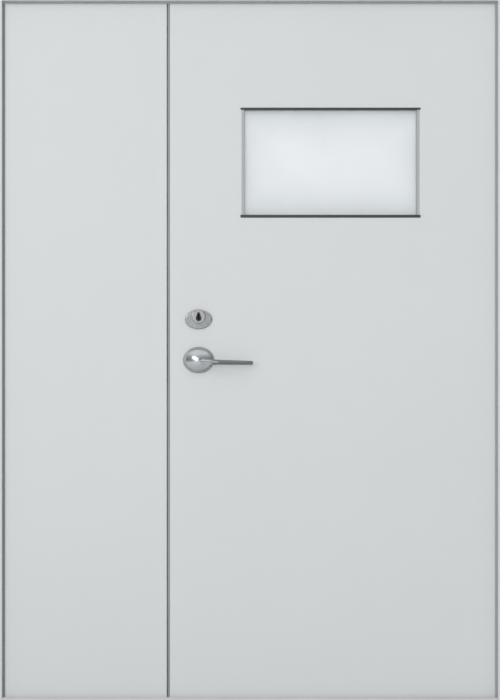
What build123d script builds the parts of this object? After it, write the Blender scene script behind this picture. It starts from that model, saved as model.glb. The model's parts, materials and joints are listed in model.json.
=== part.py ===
"""Unequal pair of flush steel doors in a pressed-steel frame, in millimetres.

X runs to the right seen from the front, Y from the front to the back and Z up. The origin
is on the underside of the threshold, at the middle of the frame's width and depth. Both
leaves open towards the back, so their hinges are there, and the front shows none.
"""

import os

from build123d import *

# Leaves
leaf_height = 2108.0
active_leaf_width = 997.0
narrow_leaf_width = 506.5
leaf_thickness = 45.0
leaf_sheet = 1.5
leaf_edge_radius = 2.0

# Gaps round the leaves
jamb_gap = 6.0
head_gap = 6.0
meeting_gap = 8.5
floor_gap = 7.0
seal_gap = 5.0
leaf_setback = 2.0

# Frame, bent from sheet
frame_depth = 72.0
frame_face = 50.0
frame_sheet = 2.0
frame_bend = 3.0
frame_lip = 15.0
stop_height = 20.0
fixing_radius = 5.5
fixing_from_end = 120.0
fixing_inner_spacing = 720.0

# Threshold
threshold_height = 20.0
tread_height = 5.0
nose_chamfer = 5.0

# Rubber seals
seal_lip = 7.0
seal_cover = 8.0
seal_thickness = 4.0
meeting_seal_width = 6.0
meeting_seal_height = 3.5
narrow_seal_height = 3.2
meeting_seal_setback = 2.5

# Lift-off hinges
hinge_from_end = 190.0
knuckle_radius = 9.0
knuckle_length = 60.0
knuckle_standoff = 1.0
knuckle_chamfer = 1.5
pin_radius = 6.0
pin_length = 45.0
pin_clearance = 0.05
knuckle_gap = 0.5
flap_reach = 50.0

# Vision panel
window_width = 540.0
window_height = 330.0
window_from_edge = 482.5
window_centre_height = 1623.0
bead_stile_face = 8.0
bead_stile_inset = 3.5
bead_top_face = 6.5
bead_bottom_face = 8.5
bead_lap = 4.5
bead_proud = 2.0
bead_chamfer = 0.8
bead_clearance = 0.5
glass_thickness = 6.8
glass_clearance = 1.0

# Lock and furniture
backset = 87.0
lever_height = 1031.0
cylinder_above_lever = 130.0
case_length = 200.0
case_depth = 125.0
case_thickness = 15.0
case_below_lever = 50.0
forend_length = 235.0
forend_width = 22.0
forend_thickness = 3.0
latch_length = 18.0
latch_width = 12.0
deadbolt_length = 30.0
deadbolt_width = 14.0
bolt_depth = 25.0

rose_width = 92.0
rose_height = 78.0
rose_thickness = 7.0
rose_rounding = 3.5
cylinder_rose_width = 82.0
cylinder_rose_height = 59.0
cylinder_rose_thickness = 6.0
boss_height = 7.0
boss_foot_radius = 21.0
boss_top_radius = 19.5
cylinder_rose_drop = 8.0
cylinder_radius = 18.0
cylinder_proud = 2.0
plug_radius = 14.5
plug_length = 22.0
dish_low_radius = 8.5
dish_high_radius = 4.0
dish_height = 27.0
dish_depth = 3.0
keyway_width = 3.5
keyway_height = 17.0
keyway_depth = 16.0
turn_width = 9.0
turn_length = 34.0
turn_proud = 24.0
turn_rounding = 3.0
turn_shank_radius = 6.0
running_clearance = 0.3

neck_radius = 11.0
hub_width = 78.0
hub_height = 62.0
hub_thickness = 19.0
hub_dome_radius = 62.0
hub_rounding = 3.0
hub_gap = 1.5
lever_reach = 163.0
arm_standoff = 41.0
arm_slope_run = 48.0
arm_bend = 60.0
arm_drop = 5.5
arm_tilt = 1.05
arm_root_height = 17.0
arm_root_depth = 15.0
arm_tip_height = 12.0
arm_tip_depth = 10.0
arm_tip_rounding = 3.0
spindle_side = 8.0
spindle_socket = 20.0
spindle_hole_radius = 8.0

strike_length = 235.0
strike_depth = 18.0
pocket_depth = 16.0
flush_bolt_length = 170.0
flush_bolt_depth = 18.0
flush_bolt_from_end = 40.0
flush_slot_length = 90.0
flush_slot_depth = 11.0
flush_lever_length = 40.0
flush_lever_width = 6.0
bolt_rod_radius = 6.0
bolt_rod_inset = 10.0
bolt_hole_radius = 7.0
edge_plate_wall = 4.0

# Places worked out from the sizes above
rebate_width = active_leaf_width + narrow_leaf_width + meeting_gap + 2 * jamb_gap
rebate_half = rebate_width / 2
opening_half = rebate_half - stop_height
frame_half = opening_half + frame_face
leaf_bottom = tread_height + floor_gap
leaf_top = leaf_bottom + leaf_height
leaf_middle_z = (leaf_bottom + leaf_top) / 2
rebate_top = leaf_top + head_gap
opening_top = rebate_top - stop_height
frame_top = opening_top + frame_face

frame_front = -frame_depth / 2
frame_back = frame_depth / 2
leaf_back = frame_back - leaf_setback
leaf_front = leaf_back - leaf_thickness
leaf_middle_y = (leaf_front + leaf_back) / 2
stop_back = leaf_front - seal_gap

narrow_left = -rebate_half + jamb_gap
narrow_right = narrow_left + narrow_leaf_width
active_left = narrow_right + meeting_gap
active_right = active_left + active_leaf_width

fixing_middle = rebate_top / 2
fixing_heights = (
    fixing_from_end,
    fixing_middle - fixing_inner_spacing / 2,
    fixing_middle + fixing_inner_spacing / 2,
    rebate_top - fixing_from_end,
)
hinge_length = 2 * knuckle_length + knuckle_gap
hinge_heights = {
    "lower": leaf_bottom + hinge_from_end,
    "middle": leaf_middle_z - hinge_length / 2,
    "upper": leaf_top - hinge_from_end - hinge_length,
}
hinge_x = rebate_half - jamb_gap / 2
hinge_y = frame_back + knuckle_standoff + knuckle_radius
lever_x = active_left + backset
cylinder_height = lever_height + cylinder_above_lever
cylinder_rose_z = cylinder_height - cylinder_rose_drop
case_low = lever_height - case_below_lever
lock_middle = case_low + case_length / 2
window_x = active_left + window_from_edge
glass_front = leaf_middle_y - glass_thickness / 2
glass_back = leaf_middle_y + glass_thickness / 2
case_front = leaf_middle_y - case_thickness / 2
case_back = leaf_middle_y + case_thickness / 2
rod_x = narrow_right - bolt_rod_inset

leaf_mid_plane = Plane(origin=(0, leaf_middle_y, 0), z_dir=(0, 1, 0))
os.makedirs("parts", exist_ok=True)


def facing(y):
    """Upright plane at depth y, seen from the front: local x is X and local y is Z."""
    return Plane.XZ.offset(-y)


def keep(builder, name):
    """Labels a finished piece and writes it to its own file."""
    builder.part.label = name
    export_step(builder.part, f"parts/{name}.step")


def frame_section(plane):
    """Folded sheet of the frame: local x runs outwards from the opening, local y to the back."""
    with BuildSketch(plane, mode=Mode.PRIVATE) as section:
        with BuildLine():
            FilletPolyline(
                (frame_face, frame_front + frame_lip),
                (frame_face, frame_front),
                (0, frame_front),
                (0, stop_back),
                (stop_height, stop_back),
                (stop_height, frame_back),
                (frame_face, frame_back),
                (frame_face, frame_back - frame_lip),
                radius=frame_bend,
            )
            offset(amount=frame_sheet, side=Side.LEFT)
        make_face()
    return section.sketch


def mitre(side):
    """Plane through the corner of the frame, square to its face, pointing towards the jamb."""
    return Plane(origin=(side * opening_half, 0, opening_top), z_dir=(side, 0, -1))


# Frame
with BuildPart() as right_jamb:
    extrude(frame_section(Plane(origin=(opening_half, 0, 0))), amount=frame_top)
    split(bisect_by=mitre(1), keep=Keep.TOP)
    with BuildSketch(Plane.YZ.offset(rebate_half)):
        for height in fixing_heights:
            with Locations((leaf_middle_y, height)):
                Circle(fixing_radius)
    extrude(amount=frame_sheet, mode=Mode.SUBTRACT)
keep(right_jamb, "right_jamb")

with BuildPart() as left_jamb:
    mirror(right_jamb.part, about=Plane.YZ)
keep(left_jamb, "left_jamb")

with BuildPart() as frame_head:
    head_plane = Plane(origin=(frame_half, 0, opening_top), x_dir=(0, 0, 1), z_dir=(-1, 0, 0))
    extrude(frame_section(head_plane), amount=2 * frame_half)
    split(bisect_by=mitre(1), keep=Keep.BOTTOM)
    split(bisect_by=mitre(-1), keep=Keep.BOTTOM)
    with BuildSketch(Plane.XY.offset(rebate_top)):
        with Locations((rod_x, leaf_middle_y)):
            Circle(bolt_hole_radius)
    extrude(amount=frame_sheet, mode=Mode.SUBTRACT)
keep(frame_head, "frame_head")

with BuildPart() as threshold:
    with BuildSketch(Plane.YZ):
        with BuildLine():
            Polyline(
                (frame_front, 0),
                (frame_front, threshold_height - nose_chamfer),
                (frame_front + nose_chamfer, threshold_height),
                (stop_back, threshold_height),
                (stop_back, tread_height),
                (frame_back, tread_height),
                (frame_back, 0),
                close=True,
            )
        make_face()
    extrude(amount=rebate_half, both=True)
    with BuildSketch(Plane.XY):
        for side in (-1, 1):
            with Locations((side * rebate_half, (frame_front + stop_back) / 2)):
                Rectangle(2 * stop_height, stop_back - frame_front)
    extrude(amount=threshold_height, mode=Mode.SUBTRACT)
    with BuildSketch(Plane.XY):
        with Locations((rod_x, leaf_middle_y)):
            Circle(bolt_hole_radius)
    extrude(amount=tread_height, mode=Mode.SUBTRACT)
keep(threshold, "threshold")

# Seals on the stop
seal_width = seal_lip + seal_cover
seal_middle = stop_back + seal_thickness / 2
with BuildPart() as right_seal:
    with BuildSketch(Plane.XY.offset(threshold_height)):
        with Locations((opening_half - seal_lip + seal_width / 2, seal_middle)):
            RectangleRounded(seal_width, seal_thickness, seal_thickness / 3)
    extrude(amount=opening_top - seal_lip - threshold_height)
keep(right_seal, "right_seal")

with BuildPart() as left_seal:
    mirror(right_seal.part, about=Plane.YZ)
keep(left_seal, "left_seal")

with BuildPart() as head_seal:
    with BuildSketch(Plane.YZ):
        with Locations((seal_middle, opening_top - seal_lip + seal_width / 2)):
            RectangleRounded(seal_thickness, seal_width, seal_thickness / 3)
    extrude(amount=opening_half + seal_cover, both=True)
keep(head_seal, "head_seal")


# Hinges
def hinge_knuckle(side, low, with_flap_at):
    """One knuckle with its flap; the flap lies in the gap, on the part at with_flap_at."""
    middle_x = (side * hinge_x + with_flap_at) / 2
    with BuildPart() as half:
        with BuildSketch(Plane.XY.offset(low)):
            with Locations((side * hinge_x, hinge_y)):
                Circle(knuckle_radius)
        extrude(amount=knuckle_length)
        chamfer(half.edges().filter_by(GeomType.CIRCLE), knuckle_chamfer)
        with BuildSketch(Plane.XY.offset(low + knuckle_chamfer)):
            with Locations((middle_x, hinge_y - flap_reach / 2)):
                Rectangle(jamb_gap / 2, flap_reach)
        extrude(amount=knuckle_length - 2 * knuckle_chamfer)
    return half.part


for side, side_name, leaf_edge in ((-1, "left", narrow_left), (1, "right", active_right)):
    for level, low in hinge_heights.items():
        with BuildPart() as frame_half_hinge:
            add(hinge_knuckle(side, low, side * rebate_half))
            with BuildSketch(Plane.XY.offset(low)):
                with Locations((side * hinge_x, hinge_y)):
                    Circle(pin_radius)
            extrude(amount=knuckle_length + knuckle_gap + pin_length)
        keep(frame_half_hinge, f"{side_name}_{level}_hinge_frame_half")

        leaf_knuckle_low = low + knuckle_length + knuckle_gap
        with BuildPart() as leaf_half_hinge:
            add(hinge_knuckle(side, leaf_knuckle_low, leaf_edge))
            with BuildSketch(Plane.XY.offset(leaf_knuckle_low)):
                with Locations((side * hinge_x, hinge_y)):
                    Circle(pin_radius + pin_clearance)
            extrude(amount=pin_length + knuckle_gap, mode=Mode.SUBTRACT)
        keep(leaf_half_hinge, f"{side_name}_{level}_hinge_leaf_half")


# Leaf skins
def leaf_pan(left, right):
    """Front skin of a leaf: a tray bent from sheet, open at the back."""
    with BuildPart() as pan:
        with BuildSketch(facing(leaf_front)):
            with Locations(((left + right) / 2, leaf_middle_z)):
                Rectangle(right - left, leaf_height)
        extrude(amount=-leaf_thickness)
        fillet(pan.faces().sort_by(Axis.Y)[0].edges(), leaf_edge_radius)
        offset(amount=-leaf_sheet, openings=pan.faces().sort_by(Axis.Y)[-1])
    return pan.part


def leaf_lid(left, right):
    """Back skin of a leaf: a flat sheet set inside the returns of the front skin."""
    with BuildPart() as lid:
        with BuildSketch(facing(leaf_back - leaf_sheet)):
            with Locations(((left + right) / 2, leaf_middle_z)):
                Rectangle(right - left - 2 * leaf_sheet, leaf_height - 2 * leaf_sheet)
        extrude(amount=-leaf_sheet)
    return lid.part


cut_out_width = window_width - 2 * (bead_stile_inset + bead_lap)
cut_out_height = window_height - 2 * bead_lap

with BuildPart() as active_leaf_front_skin:
    add(leaf_pan(active_left, active_right))
    with BuildSketch(facing(leaf_front)):
        with Locations((window_x, window_centre_height)):
            Rectangle(cut_out_width, cut_out_height)
        with Locations((lever_x, lever_height)):
            Circle(spindle_hole_radius)
        with Locations((lever_x, cylinder_height)):
            Circle(cylinder_radius + running_clearance)
    extrude(amount=-leaf_sheet, mode=Mode.SUBTRACT)
    with BuildSketch(Plane.YZ.offset(active_left)):
        with Locations((leaf_middle_y, lock_middle)):
            Rectangle(forend_width, forend_length)
    extrude(amount=leaf_sheet, mode=Mode.SUBTRACT)
keep(active_leaf_front_skin, "active_leaf_front_skin")

with BuildPart() as active_leaf_back_skin:
    add(leaf_lid(active_left, active_right))
    with BuildSketch(facing(leaf_back)):
        with Locations((window_x, window_centre_height)):
            Rectangle(cut_out_width, cut_out_height)
        with Locations((lever_x, lever_height)):
            Circle(spindle_hole_radius)
        with Locations((lever_x, cylinder_height)):
            Circle(turn_shank_radius + running_clearance)
    extrude(amount=leaf_sheet, mode=Mode.SUBTRACT)
keep(active_leaf_back_skin, "active_leaf_back_skin")

flush_bolt_middles = {
    "upper": leaf_top - flush_bolt_from_end - flush_bolt_length / 2,
    "lower": leaf_bottom + flush_bolt_from_end + flush_bolt_length / 2,
}
with BuildPart() as narrow_leaf_front_skin:
    add(leaf_pan(narrow_left, narrow_right))
    with BuildSketch(Plane.YZ.offset(narrow_right)):
        with Locations((leaf_middle_y, lock_middle)):
            Rectangle(forend_width, strike_length)
        for middle in flush_bolt_middles.values():
            with Locations((leaf_middle_y, middle)):
                Rectangle(forend_width, flush_bolt_length)
    extrude(amount=-leaf_sheet, mode=Mode.SUBTRACT)
    with BuildSketch(Plane.XY.offset(leaf_bottom)):
        with Locations((rod_x, leaf_middle_y)):
            Circle(bolt_rod_radius)
    extrude(amount=leaf_height, mode=Mode.SUBTRACT)
keep(narrow_leaf_front_skin, "narrow_leaf_front_skin")

with BuildPart() as narrow_leaf_back_skin:
    add(leaf_lid(narrow_left, narrow_right))
keep(narrow_leaf_back_skin, "narrow_leaf_back_skin")

with BuildPart() as meeting_seal:
    with BuildSketch(Plane.XY.offset(leaf_bottom)):
        with Locations((active_left, leaf_front + meeting_seal_setback + meeting_seal_width / 2)):
            Rectangle(meeting_seal_height, meeting_seal_width, align=(Align.MAX, Align.CENTER))
    extrude(amount=leaf_height)
    seal_nose = meeting_seal.faces().sort_by(Axis.X)[0]
    fillet(seal_nose.edges().filter_by(Axis.Z), meeting_seal_height / 3)
keep(meeting_seal, "meeting_seal")

with BuildPart() as narrow_meeting_seal:
    with BuildSketch(Plane.XY.offset(leaf_bottom)):
        with Locations((narrow_right, leaf_back - meeting_seal_setback - meeting_seal_width / 2)):
            Rectangle(narrow_seal_height, meeting_seal_width, align=(Align.MIN, Align.CENTER))
    extrude(amount=leaf_height)
    seal_nose = narrow_meeting_seal.faces().sort_by(Axis.X)[-1]
    fillet(seal_nose.edges().filter_by(Axis.Z), narrow_seal_height / 3)
keep(narrow_meeting_seal, "narrow_meeting_seal")


# Vision panel
half_w = window_width / 2
half_h = window_height / 2
stile_half_w = half_w - bead_stile_inset
leg_half_w = stile_half_w - bead_lap - bead_clearance
leg_half_h = half_h - bead_lap - bead_clearance
sight_half_w = stile_half_w - bead_stile_face
sight_low = window_centre_height - half_h + bead_bottom_face
sight_high = window_centre_height + half_h - bead_top_face
sight_height = sight_high - sight_low
sight_middle = (sight_low + sight_high) / 2
leg_depth = glass_front - leaf_front


def bead_rail(up, sight):
    """Horizontal glazing bead in front: a flange on the skin and a leg that holds the glass."""
    outer = window_centre_height + up * half_h
    leg_outer = window_centre_height + up * leg_half_h
    with BuildPart() as bead:
        with BuildSketch(facing(leaf_front)):
            with Locations((window_x, (outer + sight) / 2)):
                Rectangle(window_width, abs(outer - sight))
        extrude(amount=bead_proud)
        chamfer(bead.faces().sort_by(Axis.Y)[0].edges().filter_by(Axis.X), bead_chamfer)
        with BuildSketch(facing(leaf_front)):
            with Locations((window_x, (leg_outer + sight) / 2)):
                Rectangle(2 * leg_half_w, abs(leg_outer - sight))
        extrude(amount=-leg_depth)
    return bead


def bead_stile(right):
    """Upright glazing bead in front, cut in between the two rails."""
    with BuildPart() as bead:
        with BuildSketch(facing(leaf_front)):
            with Locations((window_x + right * (sight_half_w + stile_half_w) / 2, sight_middle)):
                Rectangle(bead_stile_face, sight_height)
        extrude(amount=bead_proud)
        chamfer(bead.faces().sort_by(Axis.Y)[0].edges().filter_by(Axis.Z), bead_chamfer)
        with BuildSketch(facing(leaf_front)):
            with Locations((window_x + right * (sight_half_w + leg_half_w) / 2, sight_middle)):
                Rectangle(leg_half_w - sight_half_w, sight_height)
        extrude(amount=-leg_depth)
    return bead


front_beads = {
    "window_top_bead": bead_rail(1, sight_high),
    "window_bottom_bead": bead_rail(-1, sight_low),
    "window_left_bead": bead_stile(-1),
    "window_right_bead": bead_stile(1),
}
for name, bead in front_beads.items():
    keep(bead, name)

with BuildPart() as window_back_bead:
    for bead in front_beads.values():
        mirror(bead.part, about=leaf_mid_plane)
keep(window_back_bead, "window_back_bead")

with BuildPart() as window_glass:
    with BuildSketch(facing(glass_front)):
        with Locations((window_x, window_centre_height)):
            Rectangle(cut_out_width - 2 * glass_clearance, cut_out_height - 2 * glass_clearance)
    extrude(amount=-glass_thickness)
keep(window_glass, "window_glass")


# Lock
deadbolt_z = cylinder_height - bolt_depth
latch_z = lever_height
bolt_inner = active_left + forend_thickness

with BuildPart() as lock_forend:
    with BuildSketch(Plane.YZ.offset(active_left)):
        with Locations((leaf_middle_y, lock_middle)):
            Rectangle(forend_width, forend_length)
        with Locations((leaf_middle_y, latch_z)):
            Rectangle(latch_width, latch_length, mode=Mode.SUBTRACT)
        with Locations((leaf_middle_y, deadbolt_z)):
            Rectangle(deadbolt_width, deadbolt_length, mode=Mode.SUBTRACT)
    extrude(amount=forend_thickness)
keep(lock_forend, "lock_forend")

with BuildPart() as lock_case:
    with BuildSketch(facing(case_front)):
        with Locations((bolt_inner, case_low)):
            Rectangle(case_depth, case_length, align=Align.MIN)
        with Locations((lever_x, lever_height)):
            Circle(spindle_hole_radius, mode=Mode.SUBTRACT)
    extrude(amount=-case_thickness)
keep(lock_case, "lock_case")

with BuildPart() as latch_bolt:
    with BuildSketch(Plane.YZ.offset(active_left)):
        with Locations((leaf_middle_y, latch_z)):
            Rectangle(latch_width, latch_length)
    extrude(amount=forend_thickness)
keep(latch_bolt, "latch_bolt")

with BuildPart() as deadbolt:
    with BuildSketch(Plane.YZ.offset(active_left)):
        with Locations((leaf_middle_y, deadbolt_z)):
            Rectangle(deadbolt_width, deadbolt_length)
    extrude(amount=forend_thickness)
keep(deadbolt, "deadbolt")

with BuildPart() as strike_plate:
    with BuildSketch(Plane.YZ.offset(narrow_right)):
        with Locations((leaf_middle_y, lock_middle)):
            Rectangle(forend_width, strike_length)
    extrude(amount=-strike_depth)
    with BuildSketch(Plane.YZ.offset(narrow_right)):
        with Locations((leaf_middle_y, latch_z)):
            Rectangle(latch_width + 2, latch_length + 2)
        with Locations((leaf_middle_y, deadbolt_z)):
            Rectangle(deadbolt_width + 2, deadbolt_length + 2)
    extrude(amount=-pocket_depth, mode=Mode.SUBTRACT)
keep(strike_plate, "strike_plate")

for level, middle in flush_bolt_middles.items():
    up = 1 if level == "upper" else -1
    rod_start = middle + up * flush_bolt_length / 2
    rod_end = leaf_top if level == "upper" else leaf_bottom
    with BuildPart() as flush_bolt:
        with BuildSketch(Plane.YZ.offset(narrow_right)):
            with Locations((leaf_middle_y, middle)):
                Rectangle(forend_width, flush_bolt_length)
        extrude(amount=-flush_bolt_depth)
        with BuildSketch(Plane.YZ.offset(narrow_right)):
            with Locations((leaf_middle_y, middle)):
                SlotOverall(
                    flush_slot_length, forend_width - 2 * edge_plate_wall, rotation=90
                )
        extrude(amount=-flush_slot_depth, mode=Mode.SUBTRACT)
        with BuildSketch(Plane.YZ.offset(narrow_right)):
            with Locations((leaf_middle_y, middle)):
                Rectangle(flush_lever_width, flush_lever_length)
        extrude(amount=-flush_bolt_depth)
        with BuildSketch(Plane.XY.offset(rod_start)):
            with Locations((rod_x, leaf_middle_y)):
                Circle(bolt_rod_radius)
        extrude(amount=rod_end - rod_start)
    keep(flush_bolt, f"{level}_flush_bolt")


# Lever, roses and cylinder
with BuildPart() as front_lever_rose:
    with BuildSketch(facing(leaf_front)):
        with Locations((lever_x, lever_height)):
            Ellipse(rose_width / 2, rose_height / 2)
    extrude(amount=rose_thickness)
    fillet(front_lever_rose.faces().sort_by(Axis.Y)[0].edges(), rose_rounding)
    with BuildSketch(facing(leaf_front)):
        with Locations((lever_x, lever_height)):
            Circle(neck_radius + running_clearance)
    extrude(amount=rose_thickness, mode=Mode.SUBTRACT)
keep(front_lever_rose, "front_lever_rose")

with BuildPart() as back_lever_rose:
    mirror(front_lever_rose.part, about=leaf_mid_plane)
keep(back_lever_rose, "back_lever_rose")

hub_back = leaf_front - rose_thickness - hub_gap
arm_y = leaf_front - arm_standoff
arm_z = lever_height - arm_drop
with BuildPart() as lever_arm:
    with BuildLine() as arm_path:
        FilletPolyline(
            (lever_x, hub_back - arm_root_depth / 2, arm_z),
            (lever_x + arm_slope_run, arm_y, arm_z),
            (lever_x + lever_reach, arm_y, arm_z),
            radius=arm_bend,
        )
    arm_line = arm_path.line
    with BuildSketch(Plane(origin=arm_line @ 0, x_dir=(0, 0, 1), z_dir=arm_line % 0)):
        Ellipse(arm_root_height / 2, arm_root_depth / 2)
    with BuildSketch(Plane(origin=arm_line @ 1, x_dir=(0, 0, 1), z_dir=arm_line % 1)):
        Ellipse(arm_tip_height / 2, arm_tip_depth / 2)
    sweep(path=arm_line, multisection=True)
    fillet(lever_arm.faces().sort_by(Axis.X)[-1].edges(), arm_tip_rounding)

with BuildPart() as front_lever:
    with BuildSketch(facing(leaf_front)):
        with Locations((lever_x, lever_height)):
            Circle(neck_radius)
    extrude(amount=leaf_front - hub_back)
    with BuildSketch(facing(hub_back)):
        with Locations((lever_x, lever_height)):
            Ellipse(hub_width / 2, hub_height / 2)
    extrude(amount=hub_thickness)
    with Locations((lever_x, hub_back - hub_thickness + hub_dome_radius, lever_height)):
        Sphere(hub_dome_radius, mode=Mode.INTERSECT)
    fillet(front_lever.faces().filter_by(GeomType.SPHERE).edges(), hub_rounding)
    add(lever_arm.part.rotate(Axis((lever_x, 0, arm_z), (0, 1, 0)), arm_tilt))
    with BuildSketch(facing(leaf_front)):
        with Locations((lever_x, lever_height)):
            Rectangle(spindle_side, spindle_side)
    extrude(amount=spindle_socket, mode=Mode.SUBTRACT)
keep(front_lever, "front_lever")

with BuildPart() as back_lever:
    mirror(front_lever.part, about=leaf_mid_plane)
keep(back_lever, "back_lever")

with BuildPart() as lever_spindle:
    with BuildSketch(facing(leaf_middle_y)):
        with Locations((lever_x, lever_height)):
            Rectangle(spindle_side, spindle_side)
    extrude(amount=leaf_thickness / 2 + spindle_socket, both=True)
keep(lever_spindle, "lever_spindle")


def key_rose(bore_radius):
    """Oval plate in front with a tapering boss, bored for what passes through it."""
    with BuildPart() as rose:
        with BuildSketch(facing(leaf_front)):
            with Locations((lever_x, cylinder_rose_z)):
                Ellipse(cylinder_rose_width / 2, cylinder_rose_height / 2)
        extrude(amount=cylinder_rose_thickness)
        fillet(rose.faces().sort_by(Axis.Y)[0].edges(), rose_rounding)
        with BuildSketch(facing(leaf_front - cylinder_rose_thickness)):
            with Locations((lever_x, cylinder_height)):
                Circle(boss_foot_radius)
        with BuildSketch(facing(leaf_front - cylinder_rose_thickness - boss_height)):
            with Locations((lever_x, cylinder_height)):
                Circle(boss_top_radius)
        loft()
        with BuildSketch(facing(leaf_front)):
            with Locations((lever_x, cylinder_height)):
                Circle(bore_radius)
        extrude(amount=cylinder_rose_thickness + boss_height, mode=Mode.SUBTRACT)
    return rose


cylinder_rose = key_rose(cylinder_radius + running_clearance)
keep(cylinder_rose, "cylinder_rose")

with BuildPart() as turn_rose:
    mirror(key_rose(turn_shank_radius + running_clearance).part, about=leaf_mid_plane)
keep(turn_rose, "turn_rose")

key_rose_depth = cylinder_rose_thickness + boss_height
cylinder_face = leaf_front - key_rose_depth - cylinder_proud
with BuildPart() as key_cylinder:
    with BuildSketch(facing(case_front)):
        with Locations((lever_x, cylinder_height)):
            Circle(cylinder_radius)
    extrude(amount=case_front - cylinder_face)
    with BuildSketch(facing(cylinder_face)):
        with Locations((lever_x, cylinder_height)):
            Circle(plug_radius + pin_clearance)
    extrude(amount=-plug_length, mode=Mode.SUBTRACT)
keep(key_cylinder, "key_cylinder")

with BuildPart() as key_plug:
    with BuildSketch(facing(cylinder_face)):
        with Locations((lever_x, cylinder_height)):
            Circle(plug_radius)
    extrude(amount=-plug_length)
    with BuildSketch(facing(cylinder_face)):
        with Locations((lever_x, cylinder_height - dish_height / 2 + dish_low_radius)):
            Circle(dish_low_radius)
        with Locations((lever_x, cylinder_height + dish_height / 2 - dish_high_radius)):
            Circle(dish_high_radius)
        make_hull()
    extrude(amount=-dish_depth, mode=Mode.SUBTRACT)
    with BuildSketch(facing(cylinder_face)):
        with Locations((lever_x, cylinder_height)):
            Rectangle(keyway_width, keyway_height)
    extrude(amount=-keyway_depth, mode=Mode.SUBTRACT)
keep(key_plug, "key_plug")

turn_base = leaf_back + key_rose_depth
with BuildPart() as thumb_turn:
    with BuildSketch(facing(case_back)):
        with Locations((lever_x, cylinder_height)):
            Circle(turn_shank_radius)
    extrude(amount=-(turn_base - case_back))
    with BuildSketch(facing(turn_base)):
        with Locations((lever_x, cylinder_height)):
            SlotOverall(turn_length, turn_width, rotation=90)
    extrude(amount=-turn_proud)
    fillet(thumb_turn.faces().sort_by(Axis.Y)[-1].edges(), turn_rounding)
keep(thumb_turn, "thumb_turn")
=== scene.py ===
# %% [markdown]
# # An unequal pair of steel doors
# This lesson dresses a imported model: two flush leaves in a frame folded from sheet, with a
# window, a lever and a key cylinder. The construction is already exact, so nothing here moves
# or resizes it. What Blender adds is the finish of each surface, and the small things that are
# quicker to model by hand: screws, rubber lines, ribs, washers and caps.

import json
import math

import bpy
from mathutils import Matrix, Quaternion, Vector


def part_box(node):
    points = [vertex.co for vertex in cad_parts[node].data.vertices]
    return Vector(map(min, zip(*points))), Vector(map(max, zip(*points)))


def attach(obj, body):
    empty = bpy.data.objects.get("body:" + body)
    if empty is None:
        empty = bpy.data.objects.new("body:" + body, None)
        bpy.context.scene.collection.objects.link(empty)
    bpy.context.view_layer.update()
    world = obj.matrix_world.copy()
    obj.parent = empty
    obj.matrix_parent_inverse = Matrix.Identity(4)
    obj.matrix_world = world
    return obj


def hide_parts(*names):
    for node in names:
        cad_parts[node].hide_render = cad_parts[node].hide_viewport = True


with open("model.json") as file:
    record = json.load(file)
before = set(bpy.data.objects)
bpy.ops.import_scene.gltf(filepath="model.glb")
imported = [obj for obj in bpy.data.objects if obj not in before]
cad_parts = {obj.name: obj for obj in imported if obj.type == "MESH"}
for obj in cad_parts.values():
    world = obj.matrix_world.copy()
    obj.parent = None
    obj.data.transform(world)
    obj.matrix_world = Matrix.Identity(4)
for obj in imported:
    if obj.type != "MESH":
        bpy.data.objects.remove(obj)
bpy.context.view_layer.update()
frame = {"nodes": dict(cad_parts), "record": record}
nodes = frame["nodes"]

# %% [markdown]
# ## Places taken from the frame
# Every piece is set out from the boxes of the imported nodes, so it stays seated when a size of
# the construction changes. X runs to the right, Y to the back and Z up, in metres.

# %% Places
leaf_low, leaf_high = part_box("active_leaf_front_skin")
glass_low, glass_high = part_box("window_glass")
sill_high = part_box("threshold")[1]
left_bead_low, left_bead_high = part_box("window_left_bead")
right_bead_low, right_bead_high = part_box("window_right_bead")
leaf_front = leaf_low.y
leaf_back = leaf_high.y
leaf_middle = (leaf_front + leaf_back) / 2
window_centre = (glass_low + glass_high) / 2
sight_centre = (left_bead_low + right_bead_high) / 2
HINGE_LEVELS = ("lower", "middle", "upper")
print("Leaf front at", round(leaf_front, 4), "and back at", round(leaf_back, 4))

# %% [markdown]
# ## Shader maths
# A finish is easier to read as a formula than as a heap of nodes. `Wire` wraps one socket and
# turns + - * / into Math nodes. `Finish` holds a material and has a single method, `node`, that
# adds any node: its settings first, then the values or wires of its sockets.


# %% Wires and finishes
class Wire:
    """One output socket, usable in a formula."""

    def __init__(self, finish, socket):
        self.finish = finish
        self.socket = socket

    def combine(self, operation, first, second):
        return self.finish.node("ShaderNodeMath", {"operation": operation}, {0: first, 1: second})

    def __add__(self, other):
        return self.combine("ADD", self, other)

    def __radd__(self, other):
        return self.combine("ADD", other, self)

    def __sub__(self, other):
        return self.combine("SUBTRACT", self, other)

    def __rsub__(self, other):
        return self.combine("SUBTRACT", other, self)

    def __mul__(self, other):
        return self.combine("MULTIPLY", self, other)

    def __rmul__(self, other):
        return self.combine("MULTIPLY", other, self)

    def __truediv__(self, other):
        return self.combine("DIVIDE", self, other)

    def larger(self, other):
        return self.combine("MAXIMUM", self, other)

    def clamped(self):
        return self.finish.node("ShaderNodeClamp", {}, {0: self})


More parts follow.
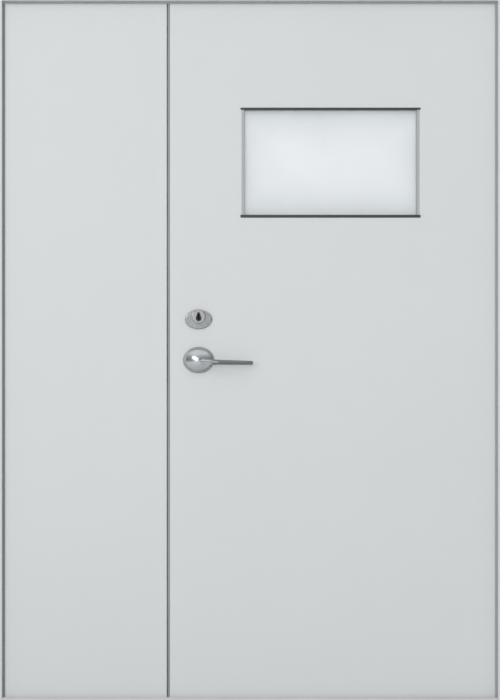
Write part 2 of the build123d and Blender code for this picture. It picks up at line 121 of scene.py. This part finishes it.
class Finish:
    """A material, built node by node."""

    def __init__(self, name):
        self.material = bpy.data.materials.new(name)
        self.material.use_nodes = True
        self.tree = self.material.node_tree
        self.tree.nodes.clear()
        self.shader = self.tree.nodes.new("ShaderNodeBsdfPrincipled")
        self.output = self.tree.nodes.new("ShaderNodeOutputMaterial")
        self.tree.links.new(self.shader.outputs[0], self.output.inputs["Surface"])

    def feed(self, socket, value):
        if isinstance(value, Wire):
            self.tree.links.new(value.socket, socket)
        else:
            socket.default_value = value

    def node(self, kind, settings, sockets, out=0):
        made = self.tree.nodes.new(kind)
        for key, value in settings.items():
            setattr(made, key, value)
        for key, value in sockets.items():
            self.feed(made.inputs[key], value)
        return Wire(self, made.outputs[out])

    def surface(self, **values):
        for key, value in values.items():
            self.feed(self.shader.inputs[key.replace("_", " ")], value)

    def place(self):
        return self.node("ShaderNodeTexCoord", {}, {}, "Object")

    def stretched(self, scale):
        return self.node("ShaderNodeMapping", {}, {"Vector": self.place(), "Scale": scale})

    def noise(self, scale, detail=2.0, vector=None):
        where = vector or self.place()
        sockets = {"Vector": where, "Scale": scale, "Detail": detail}
        return self.node("ShaderNodeTexNoise", {}, sockets)

    def blend(self, mask, first, second):
        return self.node("ShaderNodeMix", {"data_type": "RGBA"}, {0: mask, 6: first, 7: second}, 2)

    def bump(self, height, distance, strength=1.0):
        sockets = {"Height": height, "Distance": distance, "Strength": strength}
        return self.node("ShaderNodeBump", {}, sockets)

    def dress(self, *names):
        for name in names:
            mesh = nodes[name].data
            mesh.materials.clear()
            mesh.materials.append(self.material)


def paint(red, green, blue):
    """A colour as a picture editor shows it, 0 to 255, in the linear light that shaders use."""
    channels = [value / 255 for value in (red, green, blue)]
    linear = [((c + 0.055) / 1.055) ** 2.4 if c > 0.04045 else c / 12.92 for c in channels]
    return (*linear, 1.0)


print("Shader helpers ready")

# %% [markdown]
# ## Powder coat
# Both leaves and the frame are sprayed with powder and baked. The colour is even, but the skin
# has a fine orange-peel ripple and slow drifts of tone a hand's breadth across. Two noises of
# very different scale give both: the fine one bends the normal, the coarse one tints the colour.


# %% Powder coat
def powder_coat(name, colour, drift=0.02, roughness=0.46):
    coat = Finish(name)
    slow = coat.noise(2.2, 3.0)
    peel = coat.noise(520.0, 2.0)
    shade = tuple(channel * (1 - drift) for channel in colour[:3]) + (1.0,)
    tint = tuple(min(1.0, channel * (1 + drift)) for channel in colour[:3]) + (1.0,)
    coat.surface(
        Base_Color=coat.blend(slow, shade, tint),
        Roughness=roughness + (slow - 0.5) * 0.10 + (peel - 0.5) * 0.08,
        Normal=coat.bump(peel, 0.00012, 0.55),
    )
    return coat


leaf_coat = powder_coat("leaf_powder_coat", paint(214, 217, 217))
leaf_coat.dress(
    "narrow_leaf_front_skin", "narrow_leaf_back_skin",
    "active_leaf_front_skin", "active_leaf_back_skin",
)
frame_coat = powder_coat("frame_powder_coat", paint(213, 216, 217))
frame_coat.dress("left_jamb", "right_jamb", "frame_head")
print("Powder coat on leaves and frame")

# %% [markdown]
# ## Rubber
# The dark lines round the leaves are rubber seals. Rubber is never quite black: it is dusty, and
# dullest where it is dustiest. The seals on the right and above are a paler copy of the rubber:
# painted light, for the lamps that light them more than the rest. The pale rubber on the narrow
# leaf's meeting edge and round the pane is partly its own pale colour and partly painted light,
# made paler to lift the shade of the gaps it lies in.


# %% Rubber
def rubber(name, colour):
    soft = Finish(name)
    dust = soft.noise(140.0, 4.0)
    pale = tuple(channel * 1.5 for channel in colour[:3]) + (1.0,)
    soft.surface(
        Base_Color=soft.blend(dust, colour, pale),
        Roughness=0.72 + (dust - 0.5) * 0.2,
        Normal=soft.bump(dust, 0.0002, 0.4),
    )
    return soft


seal_rubber = rubber("seal_rubber", paint(116, 119, 122))
seal_rubber.dress("left_seal", "meeting_seal")
# A paler copy of the rubber for the right and head seals: painted light.
lit_seal_rubber = rubber("lit_seal_rubber", paint(146, 149, 152))
lit_seal_rubber.dress("right_seal", "head_seal")
# Pale rubber, partly its own colour and partly painted light against the shade of its gaps.
pale_and_lit_rubber = rubber("pale_and_lit_rubber", paint(200, 203, 205))
pale_and_lit_rubber.dress("narrow_meeting_seal")
print("Rubber on the seals")

# %% [markdown]
# ## Bare steel
# The sill, hinges and lock plates are bare steel, drawn or brushed in one direction. Stretching
# the noise along that direction turns its blobs into hairlines, which show in both the gloss and
# the bump.


# %% Bare steel
def brushed_steel(name, colour, along, roughness=0.34, metallic=0.9):
    steel = Finish(name)
    stretch = [1.0 if axis == along else 60.0 for axis in "XYZ"]
    hair = steel.noise(16.0, 4.0, steel.stretched(stretch))
    stain = steel.noise(9.0, 3.0)
    dull = tuple(channel * 0.82 for channel in colour[:3]) + (1.0,)
    steel.surface(
        Base_Color=steel.blend(stain * 0.7 + hair * 0.3, dull, colour),
        Metallic=metallic,
        Roughness=roughness + (hair - 0.5) * 0.18 + (stain - 0.5) * 0.12,
        Normal=steel.bump(hair, 0.00006, 0.5),
    )
    return steel


sill_steel = brushed_steel("sill_steel", paint(214, 213, 213), "X", 0.5, 0.3)
sill_steel.dress("threshold")
lock_steel = brushed_steel("lock_steel", paint(188, 190, 192), "Z")
lock_names = (
    "lock_forend", "lock_case", "latch_bolt", "deadbolt", "strike_plate",
    "upper_flush_bolt", "lower_flush_bolt", "lever_spindle",
)
lock_steel.dress(*lock_names)
hinge_names = [
    f"{side}_{level}_hinge_{half}_half"
    for side in ("left", "right") for level in HINGE_LEVELS for half in ("frame", "leaf")
]
hinge_steel = brushed_steel("hinge_steel", paint(182, 184, 187), "Z", 0.30)
hinge_steel.dress(*hinge_names)
print("Bare steel on", 1 + len(lock_names) + len(hinge_names), "pieces")

# %% [markdown]
# ## Handle metals
# The oval roses and the domed hub are polished; the roses under the lever are a darker copy of
# that polish, as painted shade. The arm of the lever is painted darker: a painted reflection of
# the dark surroundings it faces. Faint smudges in the roughness keep the polish from looking like
# a mirror ball. The recess in the key plug is painted dark, as shade in the hole, so the keyhole
# reads as one dark pear. The arm and the recess are picked out by place: the arm by X, the recess
# by its depth behind the plug's face.


# %% Handle metals
def handle_metal(name, colour, roughness, smudge, axis=None, start=0.0, fade=1.0, painted_shade=0.0):
    """Metal of one colour, with painted shade beyond a place on one axis where an axis is given."""
    metal = Finish(name)
    grease = metal.noise(85.0, 4.0)
    worn = metal.noise(26.0, 2.0)
    dark = tuple(channel * 0.86 for channel in colour[:3]) + (1.0,)
    shade = tuple(channel * (1 - painted_shade) for channel in colour[:3]) + (1.0,)
    tone = metal.blend(worn, dark, colour)
    if axis:
        along = metal.node("ShaderNodeSeparateXYZ", {}, {0: metal.place()}, axis)
        tone = metal.blend(((along - start) / fade).clamped(), tone, shade)
    metal.surface(
        Base_Color=tone,
        Metallic=1.0,
        Roughness=roughness + (grease - 0.5) * smudge,
        Normal=metal.bump(grease, 0.00002, 0.3),
    )
    return metal


rose_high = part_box("front_lever_rose")[1]
plug_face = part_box("key_plug")[0].y
rose_polish = handle_metal("rose_polish", paint(184, 186, 189), 0.24, 0.10)
rose_polish.dress("cylinder_rose", "turn_rose")
# The roses under the lever are a darker, slightly rougher copy of the polish: painted shade.
rose_painted_shade = handle_metal("rose_painted_shade", paint(164, 167, 170), 0.30, 0.10)
rose_painted_shade.dress("front_lever_rose", "back_lever_rose")
# The arm beyond the rose is painted darker: a painted reflection of dark surroundings.
lever_metal_arm_shade = handle_metal(
    "lever_metal_arm_shade", paint(211, 214, 217), 0.24, 0.12, "X", rose_high.x - 0.012, 0.012, 0.62
)
lever_metal_arm_shade.dress("front_lever", "back_lever", "thumb_turn")
cylinder_satin = handle_metal("cylinder_satin", paint(186, 188, 191), 0.32, 0.10)
cylinder_satin.dress("key_cylinder")
# The recess behind the plug's face is painted nearly black: painted shade in the hole.
plug_metal_recess_shade = handle_metal(
    "plug_metal_recess_shade", paint(186, 188, 191), 0.32, 0.10, "Y", plug_face + 0.0003, 0.0004, 0.90
)
plug_metal_recess_shade.dress("key_plug")
print("Metal on roses, levers and cylinder")

# %% [markdown]
# ## Window
# The rails above and below the pane are painted almost black and the stiles beside it grey: one
# bead in two tones, painted shade on the rails and painted light on the stiles. The pane is
# obscure glass: light comes through it, but no picture. Part of the light is scattered by the
# etched face, which a white base under a rough transmission gives. Towards the beads the pane is
# painted darker, as painted shade, with a random cloudy tone mixed in, so the tone follows the
# distance from the middle.


# %% Beads and pane
# One bead coat in two tones: the rails painted near black as shade, the stiles grey as lit faces.
shaded_bead = powder_coat("dark_bead_coat", paint(58, 61, 63), 0.10, 0.42)
shaded_bead.dress("window_top_bead", "window_bottom_bead")
lit_bead = powder_coat("grey_bead_coat", paint(172, 176, 177), 0.04, 0.42)
lit_bead.dress("window_left_bead", "window_right_bead", "window_back_bead")


def obscure_glass():
    pane = Finish("obscure_glass")
    half = (glass_high - glass_low) / 2
    turned = pane.node(
        "ShaderNodeMapping", {"vector_type": "TEXTURE"},
        {"Vector": pane.place(), "Location": window_centre, "Scale": (half.x, 1.0, half.z)},
    )
    axes = {axis: pane.node("ShaderNodeSeparateXYZ", {}, {0: turned}, axis) for axis in "XZ"}
    far_x = axes["X"] * axes["X"]
    far_z = axes["Z"] * axes["Z"]
    # Painted shade: the pane darkens towards the beads, with random cloudy tone mixed in.
    edge_shade = (far_x * far_x * 0.45).larger(far_z * 0.66)
    cloud = pane.noise(7.0, 3.0)
    ripple = pane.noise(260.0, 2.0)
    middle = paint(229, 232, 234)
    rim = paint(199, 205, 206)
    pane.surface(
        Base_Color=pane.blend((edge_shade + (cloud - 0.5) * 0.35).clamped(), middle, rim),
        Roughness=0.36 + (ripple - 0.5) * 0.2,
        Normal=pane.bump(ripple, 0.0004, 0.5),
        Transmission_Weight=0.40,
        IOR=1.5,
    )
    return pane


obscure_glass().dress("window_glass")
print("Beads and pane finished")

# %% [markdown]
# ## Modelling helpers
# Small pieces start as a primitive at the origin and are shaped in edit mode. Operators act on
# all that is selected, so each step first clears the selection and then picks faces by place.
# A shape that repeats is made once. Each copy gets its own mesh, moved to its place, and the
# copies on one body are joined.


# %% Modelling helpers
def start(name):
    """Names the primitive that was just added, as the only selected object."""
    piece = bpy.context.object
    piece.name = name
    piece.data.name = name
    return piece


def clear_selection():
    bpy.ops.object.select_all(action="DESELECT")


def pick(piece):
    clear_selection()
    piece.select_set(True)
    bpy.context.view_layer.objects.active = piece


def pick_faces(piece, test):
    """Selects the faces whose centre and normal pass the test, and goes to edit mode."""
    pick(piece)
    bpy.ops.object.mode_set(mode="EDIT")
    bpy.ops.mesh.select_mode(type="FACE")
    bpy.ops.mesh.select_all(action="DESELECT")
    bpy.ops.object.mode_set(mode="OBJECT")
    for face in piece.data.polygons:
        face.select = test(face.center, face.normal)
    bpy.ops.object.mode_set(mode="EDIT")


def object_mode():
    bpy.ops.object.mode_set(mode="OBJECT")


def apply_modifier(piece, kind, **settings):
    pick(piece)
    modifier = piece.modifiers.new(kind.title(), kind)
    for key, value in settings.items():
        setattr(modifier, key, value)
    bpy.ops.object.modifier_apply(modifier=modifier.name)


def settle(piece):
    """Puts the object's place, turn and size into its mesh."""
    pick(piece)
    bpy.ops.object.transform_apply(location=True, rotation=True, scale=True)


def finish_piece(piece, finish, body, angle=35):
    pick(piece)
    bpy.ops.object.shade_smooth_by_angle(angle=math.radians(angle))
    piece.data.materials.clear()
    piece.data.materials.append(finish.material)
    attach(piece, body)
    print("Made", piece.name, "with", len(piece.data.polygons), "faces")


def spread(master, name, places):
    """Copies the master's mesh to each place, joins the copies and returns the joined piece."""
    copies = []
    for place in places:
        copy = bpy.data.objects.new(name, master.data.copy())
        copy.data.transform(place)
        bpy.context.scene.collection.objects.link(copy)
        copies.append(copy)
    clear_selection()
    for copy in copies:
        copy.select_set(True)
    bpy.context.view_layer.objects.active = copies[0]
    if len(copies) > 1:
        bpy.ops.object.join()
    return start(name)


def facing(direction, place):
    """Matrix that turns a shape's +Z to a direction and moves it to a place."""
    turn = Vector(direction).to_track_quat("Z", "Y")
    return Matrix.Translation(place) @ turn.to_matrix().to_4x4()


print("Modelling helpers ready")

# %% [markdown]
# ## Smooth metal
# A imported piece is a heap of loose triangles, so a curved one shades in facets, and polish shows
# every one of them. In a copy the corners are merged, and triangles that lie in one plane are
# dissolved into a single face. Blunt edges are then shaded smooth, with normals weighted by
# area, so that the large flat faces stay flat. The copy stands for the piece.


# %% Smooth metal
def smooth_copy(node, finish, body):
    copy = bpy.data.objects.new(node + "_smooth", nodes[node].data.copy())
    bpy.context.scene.collection.objects.link(copy)
    pick(copy)
    bpy.ops.object.mode_set(mode="EDIT")
    bpy.ops.mesh.select_all(action="SELECT")
    bpy.ops.mesh.remove_doubles(threshold=0.000001)
    bpy.ops.mesh.dissolve_limited(angle_limit=math.radians(0.5))
    object_mode()
    finish_piece(copy, finish, body, 40)
    apply_modifier(copy, "WEIGHTED_NORMAL", keep_sharp=True)
    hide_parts(node)


for node in ("front_lever", "back_lever"):
    smooth_copy(node, lever_metal_arm_shade, "lever_set")
for node in ("front_lever_rose", "back_lever_rose"):
    smooth_copy(node, rose_painted_shade, "active_leaf")
for node in ("cylinder_rose", "turn_rose"):
    smooth_copy(node, rose_polish, "active_leaf")
smooth_copy("thumb_turn", lever_metal_arm_shade, "active_leaf")
smooth_copy("key_cylinder", cylinder_satin, "active_leaf")
smooth_copy("key_plug", plug_metal_recess_shade, "plug")
for side, leaf in (("left", "narrow_leaf"), ("right", "active_leaf")):
    for level in HINGE_LEVELS:
        smooth_copy(f"{side}_{level}_hinge_frame_half", hinge_steel, "frame")
        smooth_copy(f"{side}_{level}_hinge_leaf_half", hinge_steel, leaf)

# %% [markdown]
# ## Screws
# Edge plates, hinge flaps and the beads at the back are held by countersunk screws with a cross
# recess. One screw is turned from a cylinder: its rim is bevelled and a cross is cut out of it.

# %% One screw
screw_radius = 0.0042
screw_height = 0.0008
recess_width = 0.0011
recess_length = 0.0048
screw_bevel = 0.0004

clear_selection()
bpy.ops.mesh.primitive_cylinder_add(vertices=28, radius=screw_radius, depth=2 * screw_height)
screw = start("screw_master")
apply_modifier(screw, "BEVEL", width=screw_bevel, segments=2, limit_method="ANGLE")
for length, width in ((recess_length, recess_width), (recess_width, recess_length)):
    bpy.ops.mesh.primitive_cube_add(size=1.0, location=(0, 0, screw_height))
    cutter = start("cross_cutter")
    cutter.scale = (length, width, screw_height)
    settle(cutter)
    apply_modifier(screw, "BOOLEAN", object=cutter, operation="DIFFERENCE", solver="EXACT")
    bpy.data.objects.remove(cutter)
print("One screw has", len(screw.data.polygons), "faces")


# %% [markdown]
# The screws go where the plates are. A plate on the meeting edge takes one near each end, a
# hinge flap takes three, and the beads at the back take a row.


# %% Screws in place
plate_screw_inset = 0.010
bolt_plate_length = 0.170
flap_length = 0.060
flap_screw_rows = ((0.012, 0.014), (0.030, 0.024), (0.048, 0.014))
bead_screw_size = 0.6
bead_side_inset = 0.0075
bead_bottom_inset = 0.0042
bead_top_inset = 0.0032


def plate_screws(direction, x, bottom, top):
    """A screw near each end of an upright plate."""
    heights = (bottom + plate_screw_inset, top - plate_screw_inset)
    return [facing(direction, (x, leaf_middle, z)) for z in heights]


def flap_screws(side, level, half):
    """Three screws in the flap of a hinge half, on the face that looks across the gap."""
    low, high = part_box(f"{side}_{level}_hinge_{half}_half")
    outward = 1 if side == "right" else -1
    towards = -outward if half == "frame" else outward
    axis_x = (low.x + high.x) / 2
    foot = low.z if half == "frame" else high.z - flap_length
    return [
        facing((towards, 0, 0), (axis_x, low.y + y, foot + z)) for z, y in flap_screw_rows
    ]


forend_low, forend_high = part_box("lock_forend")
strike_low, strike_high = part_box("strike_plate")
active_places = plate_screws((-1, 0, 0), forend_low.x, forend_low.z, forend_high.z)
narrow_places = plate_screws((1, 0, 0), strike_high.x, strike_low.z, strike_high.z)
lower_bolt_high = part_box("lower_flush_bolt")[1]
upper_bolt_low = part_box("upper_flush_bolt")[0]
for foot in (lower_bolt_high.z - bolt_plate_length, upper_bolt_low.z):
    narrow_places += plate_screws((1, 0, 0), lower_bolt_high.x, foot, foot + bolt_plate_length)

frame_places = []
for level in HINGE_LEVELS:
    frame_places += flap_screws("left", level, "frame") + flap_screws("right", level, "frame")
    narrow_places += flap_screws("left", level, "leaf")
    active_places += flap_screws("right", level, "leaf")

bead_low, bead_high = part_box("window_back_bead")
bead_places = []
for part in (-0.4, 0.0, 0.4):
    x = window_centre.x + part * (bead_high.x - bead_low.x)
    bead_places += [(x, bead_low.z + bead_bottom_inset), (x, bead_high.z - bead_top_inset)]
for part in (-0.3, 0.3):
    z = window_centre.z + part * (bead_high.z - bead_low.z)
    bead_places += [(bead_low.x + bead_side_inset, z), (bead_high.x - bead_side_inset, z)]
for x, z in bead_places:
    smaller = Matrix.Scale(bead_screw_size, 4)
    active_places.append(facing((0, 1, 0), (x, bead_high.y, z)) @ smaller)

for name, places, body in (
    ("frame_screws", frame_places, "frame"),
    ("narrow_leaf_screws", narrow_places, "narrow_leaf"),
    ("active_leaf_screws", active_places, "active_leaf"),
):
    finish_piece(spread(screw, name, places), lock_steel, body)
bpy.data.objects.remove(screw)

# %% [markdown]
# ## Anchor caps
# The frame is bolted to the wall through its rebate, and each bolt head hides under a pressed
# cap of the frame's colour. A cap is a low dome: a sphere cut at its shoulder and flattened.

# %% Anchor caps
cap_radius = 0.0075
cap_height = 0.0022
shoulder = 0.0005
clear_selection()
bpy.ops.mesh.primitive_uv_sphere_add(segments=32, ring_count=16, radius=cap_radius)
cap = start("cap_master")
bpy.ops.object.mode_set(mode="EDIT")
bpy.ops.mesh.select_all(action="SELECT")
bpy.ops.mesh.bisect(
    plane_co=(0, 0, shoulder), plane_no=(0, 0, 1), use_fill=True, clear_inner=True
)
object_mode()
cap.data.transform(Matrix.Translation((0, 0, -shoulder)))
cap.scale = (1, 1, cap_height / cap_radius)
settle(cap)
cap_places = []
for mount in frame["record"]["mounts"]:
    if mount["kind"] == "bolt_pattern":
        x, y, z = mount["pos_m"]
        side = 1 if x > 0 else -1
        rebate_x = side * sill_high.x
        half_spacing = mount["dims"]["spacing_y_mm"] / 2000
        for height in (z - half_spacing, z + half_spacing):
            cap_places.append(facing((-side, 0, 0), (rebate_x, y, height)))
finish_piece(spread(cap, "anchor_caps", cap_places), frame_coat, "frame")
bpy.data.objects.remove(cap)

# %% [markdown]
# ## Glazing gasket
# A thin rubber line lies between the beads and the pane on both sides. It starts as a plane the
# size of the sight opening, an inset gives it its width, and Solidify its thickness.


# %% Glazing gasket
def gasket(name, y, outward):
    gasket_width = 0.0015
    gasket_thickness = 0.0012
    gasket_bevel = 0.0004
    width = right_bead_low.x - left_bead_high.x
    height = left_bead_high.z - left_bead_low.z
    clear_selection()
    bpy.ops.mesh.primitive_plane_add(size=1.0)
    ring = start(name)
    ring.scale = (width, height, 1)
    ring.rotation_euler = (math.radians(90 * outward), 0, 0)
    settle(ring)
    pick_faces(ring, lambda centre, normal: True)
    bpy.ops.mesh.inset(thickness=gasket_width, depth=0)
    bpy.ops.mesh.delete(type="FACE")
    object_mode()
    apply_modifier(ring, "SOLIDIFY", thickness=gasket_thickness, offset=1.0)
    apply_modifier(ring, "BEVEL", width=gasket_bevel, segments=2, limit_method="ANGLE")
    ring.data.transform(Matrix.Translation((sight_centre.x, y, sight_centre.z)))
    # The pale rubber here is partly painted light against the shade between bead and pane.
    finish_piece(ring, pale_and_lit_rubber, "active_leaf")


gasket("front_glazing_gasket", glass_low.y, 1)
gasket("back_glazing_gasket", glass_high.y, -1)

# %% [markdown]
# ## Sill ribs and sill seal
# Low ribs along the sill keep shoes from slipping. One rib is modelled, bevelled, and repeated
# by an Array modifier. Behind the sill's step a rubber strip closes the gap under the leaves.

# %% Sill ribs and sill seal
rib_width = 0.0024
rib_height = 0.0010
rib_step = 0.0050
rib_count = 3
rib_bevel = 0.0006
rib_setback = 0.005
strip_thickness = 0.0036
strip_height = 0.009
strip_bevel = 0.001
strip_drop = 0.0055
end_clearance = 0.010
step_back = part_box("left_seal")[0].y
stop_width = 2 * (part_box("head_seal")[1].x - end_clearance)
clear_selection()
bpy.ops.mesh.primitive_cube_add(size=1.0)
ribs = start("sill_ribs")
ribs.scale = (stop_width, rib_width, 2 * rib_height)
settle(ribs)
apply_modifier(ribs, "BEVEL", width=rib_bevel, segments=2, limit_method="ANGLE")
apply_modifier(
    ribs, "ARRAY", count=rib_count, use_relative_offset=False,
    use_constant_offset=True, constant_offset_displace=(0, -rib_step, 0),
)
ribs.data.transform(Matrix.Translation((0, step_back - rib_setback, sill_high.z)))
finish_piece(ribs, sill_steel, "frame")

clear_selection()
bpy.ops.mesh.primitive_cube_add(size=1.0)
sill_seal = start("sill_seal")
sill_seal.scale = (stop_width, strip_thickness, strip_height)
settle(sill_seal)
apply_modifier(sill_seal, "BEVEL", width=strip_bevel, segments=3, limit_method="ANGLE")
strip_place = (0, step_back + strip_thickness / 2, sill_high.z - strip_drop)
sill_seal.data.transform(Matrix.Translation(strip_place))
finish_piece(sill_seal, seal_rubber, "frame")

# %% [markdown]
# ## Hinge washers and caps
# Between the two knuckles of a lift-off hinge runs a brass washer, and the knuckles end in low
# domes. A torus flattened to the gap makes the washer, a cut sphere the dome.

# %% Hinge washers and caps
washer_brass = handle_metal("washer_brass", paint(196, 164, 96), 0.28, 0.10)
knuckle_radius = 0.009
washer_height = 0.0005
washer_radius = 0.0078
washer_half_width = 0.0012
dome_radius = 0.0074
dome_flatness = 0.42
clear_selection()
bpy.ops.mesh.primitive_torus_add(
    major_segments=40, minor_segments=10,
    major_radius=washer_radius, minor_radius=washer_half_width,
)
washer = start("washer_master")
washer.scale = (1, 1, washer_height / (2 * washer_half_width))
settle(washer)
bpy.ops.mesh.primitive_uv_sphere_add(segments=32, ring_count=16, radius=dome_radius)
dome = start("dome_master")
bpy.ops.object.mode_set(mode="EDIT")
bpy.ops.mesh.select_all(action="SELECT")
bpy.ops.mesh.bisect(plane_co=(0, 0, 0), plane_no=(0, 0, 1), use_fill=True, clear_inner=True)
object_mode()
dome.scale = (1, 1, dome_flatness)
settle(dome)

washer_places = []
frame_domes = []
leaf_domes = {"left": [], "right": []}
for side in ("left", "right"):
    for level in HINGE_LEVELS:
        low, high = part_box(f"{side}_{level}_hinge_leaf_half")
        frame_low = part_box(f"{side}_{level}_hinge_frame_half")[0]
        x = (low.x + high.x) / 2
        y = high.y - knuckle_radius
        washer_places.append(Matrix.Translation((x, y, low.z - washer_height / 2)))
        frame_domes.append(facing((0, 0, -1), (x, y, frame_low.z)))
        leaf_domes[side].append(facing((0, 0, 1), (x, y, high.z)))
finish_piece(
    spread(washer, "hinge_washers", washer_places), washer_brass, "frame"
)
for name, places, body in (
    ("frame_hinge_caps", frame_domes, "frame"),
    ("narrow_hinge_caps", leaf_domes["left"], "narrow_leaf"),
    ("active_hinge_caps", leaf_domes["right"], "active_leaf"),
):
    finish_piece(spread(dome, name, places), hinge_steel, body)
bpy.data.objects.remove(washer)
bpy.data.objects.remove(dome)

# %% [markdown]
# ## Floor, light and camera
# The doors stand on a pale floor. It keeps their shadow, and a few metres out it fades into the
# backdrop, so there is no horizon. The camera, the pane and polished metal all look at that same
# backdrop. Metal in an all-white room looks flat, so a grey screen stands round the set, as in a
# photo studio: dark at its foot, paler towards its top, and seen by reflections alone.
# A broad lamp in front keeps the recessed leaves even. It is left out of reflections, so the
# highlight on the hub comes from a second, slanting lamp on the left, and a third lights the
# back. The rest of the light is the world's, in soft bands that only matt surfaces gather.

# %% Floor
backdrop = (0.86, 0.87, 0.88, 1)
view_rays = ("Is Camera Ray", "Is Glossy Ray", "Is Transmission Ray")
floor_size = 60.0
fade_start = 1.5
fade_length = 3.5
clear_selection()
bpy.ops.mesh.primitive_plane_add(size=floor_size, location=(0, 0, 0))
floor = start("floor")
floor_finish = Finish("pale_floor")
floor_finish.surface(Base_Color=paint(212, 213, 213), Roughness=0.8)
from_middle = floor_finish.node(
    "ShaderNodeVectorMath", {"operation": "LENGTH"}, {0: floor_finish.place()}, "Value"
)
far_out = ((from_middle - fade_start) / fade_length).clamped()
looked_at = sum(floor_finish.node("ShaderNodeLightPath", {}, {}, ray) for ray in view_rays)
faded = floor_finish.node(
    "ShaderNodeMixShader", {},
    {
        0: far_out * looked_at.clamped(),
        1: Wire(floor_finish, floor_finish.shader.outputs[0]),
        2: floor_finish.node("ShaderNodeEmission", {}, {"Color": backdrop}),
    },
)
floor_finish.feed(floor_finish.output.inputs["Surface"], faded)
floor.data.materials.append(floor_finish.material)
print("Floor", floor_size, "m across, fading from", fade_start, "m to", fade_start + fade_length, "m")


# %% Grey screen
def cool_grey(level):
    return (level, level * 1.01, level * 1.03, 1)


screen_radius = 9.5
screen_height = 6.0
screen_sides = 64
screen_foot = cool_grey(0.07)
screen_top = cool_grey(0.62)
clear_selection()
bpy.ops.mesh.primitive_cylinder_add(
    vertices=screen_sides, radius=screen_radius, depth=screen_height,
    end_fill_type="NOTHING", location=(0, 0, screen_height / 2),
)
screen = start("screen")
screen_finish = Finish("grey_screen")
from_centre = screen_finish.node(
    "ShaderNodeSeparateXYZ", {}, {0: screen_finish.place()}, "Z"
)
climb = (from_centre / screen_height + 0.5).clamped()
screen_finish.surface(
    Base_Color=(0, 0, 0, 1),
    Emission_Color=screen_finish.blend(climb, screen_foot, screen_top),
    Emission_Strength=1.0,
    Specular_IOR_Level=0.0,
)
screen.data.materials.append(screen_finish.material)
screen.visible_camera = False
screen.visible_diffuse = False
screen.visible_transmission = False
screen.visible_shadow = False
print("Screen", screen_height, "m high,", screen_radius, "m out")


# %% Lamps
def lamp(name, place, target, size, power, tilt=0.0, mirrored=True):
    light = bpy.data.lights.new(name, "AREA")
    light.shape = "RECTANGLE"
    light.size, light.size_y = size
    light.energy = power
    aim = (Vector(target) - Vector(place)).to_track_quat("-Z", "Y")
    bulb = bpy.data.objects.new(name, light)
    bulb.location = place
    bulb.rotation_euler = (aim @ Quaternion((0, 0, 1), math.radians(tilt))).to_euler()
    bulb.visible_glossy = mirrored
    bulb.visible_camera = False
    bpy.context.scene.collection.objects.link(bulb)
    print(name, power, "W")


lamp("front_lamp", (0.5, -7.0, 3.6), (0, 0, 1.5), (6.5, 7.0), 176.0, mirrored=False)
lamp("left_lamp", (-2.3, -6.0, 2.0), (0, 0, 1.1), (3.5, 1.2), 70.0, tilt=-30)
lamp("back_lamp", (0.5, 5.5, 3.2), (0, 0, 1.1), (4.0, 4.0), 90.0)

# %% World
world = bpy.data.worlds.new("studio")
bpy.context.scene.world = world
world.use_nodes = True
sky = world.node_tree
sky.nodes.clear()
direction = sky.nodes.new("ShaderNodeTexCoord")
height = sky.nodes.new("ShaderNodeSeparateXYZ")
ramp = sky.nodes.new("ShaderNodeValToRGB")
path = sky.nodes.new("ShaderNodeLightPath")
soft = sky.nodes.new("ShaderNodeBackground")
plain = sky.nodes.new("ShaderNodeBackground")
mixed = sky.nodes.new("ShaderNodeMixShader")
out = sky.nodes.new("ShaderNodeOutputWorld")
bands = ((0.05, 0.03), (0.15, 0.85), (0.36, 0.58), (0.50, 0.145), (0.80, 0.74))
while len(ramp.color_ramp.elements) < len(bands):
    ramp.color_ramp.elements.new(0.5)
for stop, (place, level) in zip(ramp.color_ramp.elements, bands):
    stop.position = place
    stop.color = cool_grey(level)
plain.inputs["Color"].default_value = backdrop
# The ramp runs from 0 straight below to 1 straight above, and Z from -1 to 1.
lift = sky.nodes.new("ShaderNodeMath")
lift.operation = "MULTIPLY_ADD"
lift.inputs[1].default_value = 0.5
lift.inputs[2].default_value = 0.5
sky.links.new(direction.outputs["Generated"], height.inputs[0])
sky.links.new(height.outputs["Z"], lift.inputs[0])
sky.links.new(lift.outputs[0], ramp.inputs[0])
sky.links.new(ramp.outputs["Color"], soft.inputs["Color"])
seen = path.outputs[view_rays[0]]
for ray in view_rays[1:]:
    either = sky.nodes.new("ShaderNodeMath")
    either.operation = "MAXIMUM"
    sky.links.new(seen, either.inputs[0])
    sky.links.new(path.outputs[ray], either.inputs[1])
    seen = either.outputs[0]
sky.links.new(seen, mixed.inputs[0])
sky.links.new(soft.outputs[0], mixed.inputs[1])
sky.links.new(plain.outputs[0], mixed.inputs[2])
sky.links.new(mixed.outputs[0], out.inputs["Surface"])
print("World of", len(bands), "bands")

# %% Camera
picture_height = 2.100
picture_foot = 0.011
distance = 8.0
camera_data = bpy.data.cameras.new("camera")
camera_data.sensor_width = 36.0
camera_data.lens = camera_data.sensor_width * distance / picture_height
camera = bpy.data.objects.new("camera", camera_data)
camera.location = (0.0, leaf_front - distance, picture_foot + picture_height / 2)
camera.rotation_euler = (math.radians(90), 0, 0)
bpy.context.scene.collection.objects.link(camera)
bpy.context.scene.camera = camera
bpy.context.scene.view_settings.view_transform = "Standard"
print("Camera", round(distance, 2), "m away with a lens of", round(camera_data.lens, 1), "mm")
